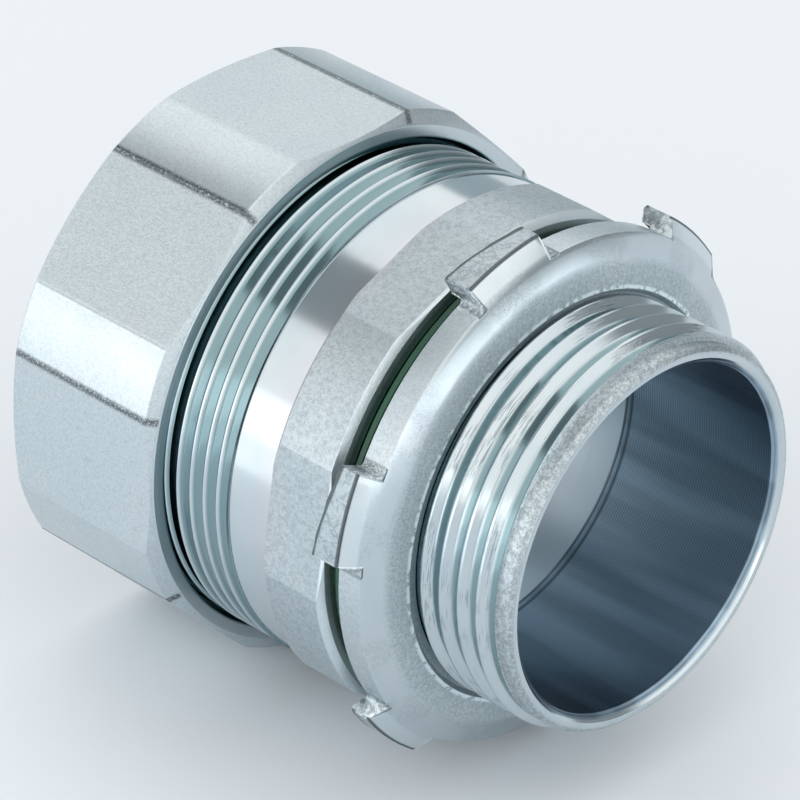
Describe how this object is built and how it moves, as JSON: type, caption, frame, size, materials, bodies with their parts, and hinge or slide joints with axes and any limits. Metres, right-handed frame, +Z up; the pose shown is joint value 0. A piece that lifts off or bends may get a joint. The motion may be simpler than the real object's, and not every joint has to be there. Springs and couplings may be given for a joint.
{
  "type": "compression conduit connector",
  "caption": "Threaded compression connector that clamps the end of a rigid conduit and fastens it through a box knockout with a locknut and a sealing ring.",
  "frame": {"origin": "on the connector's axis, in the plane of the collar's front face, against which the sealing ring and the wall of the box are clamped", "axes": "+X along the axis, out through the nose and into the box; +Z up as it lies on its side; +Y completes the right-handed frame"},
  "size_m": [0.0605, 0.0578, 0.0582],
  "materials": {
    "body_steel": "bright zinc plate",
    "seal_rubber": "matt",
    "locknut_steel": "bright zinc plate",
    "ring_steel": "bright zinc plate",
    "nut_steel": "bright zinc plate"
  },
  "bodies": {
    "body": {"connector_body": "body_steel"},
    "seal": {"sealing_ring": "seal_rubber"},
    "locknut": {"locknut": "locknut_steel"},
    "ring": {"compression_ring": "ring_steel"},
    "nut": {"gland_nut": "nut_steel"}
  },
  "joints": [
    {"name": "locknut_travel", "type": "slide", "parent": "body", "child": "seal", "axis": [1, 0, 0], "range_m": [0, 0.0133]},
    {"name": "locknut_turn", "type": "hinge", "parent": "seal", "child": "locknut", "pos_m": [0.0045, 0, 0], "axis": [1, 0, 0], "range_deg": [0, 1980]},
    {"name": "nut_travel", "type": "slide", "parent": "body", "child": "ring", "axis": [1, 0, 0], "range_m": [-0.0093, 0]},
    {"name": "nut_turn", "type": "hinge", "parent": "ring", "child": "nut", "pos_m": [-0.0318, 0, 0], "axis": [1, 0, 0], "range_deg": [-1800, 0]}
  ],
  "couplings": [
    {"joint": "locknut_travel", "follows": "locknut_turn", "m_per_rad": 0.00038515},
    {"joint": "nut_travel", "follows": "nut_turn", "m_per_rad": 0.00029444}
  ]
}
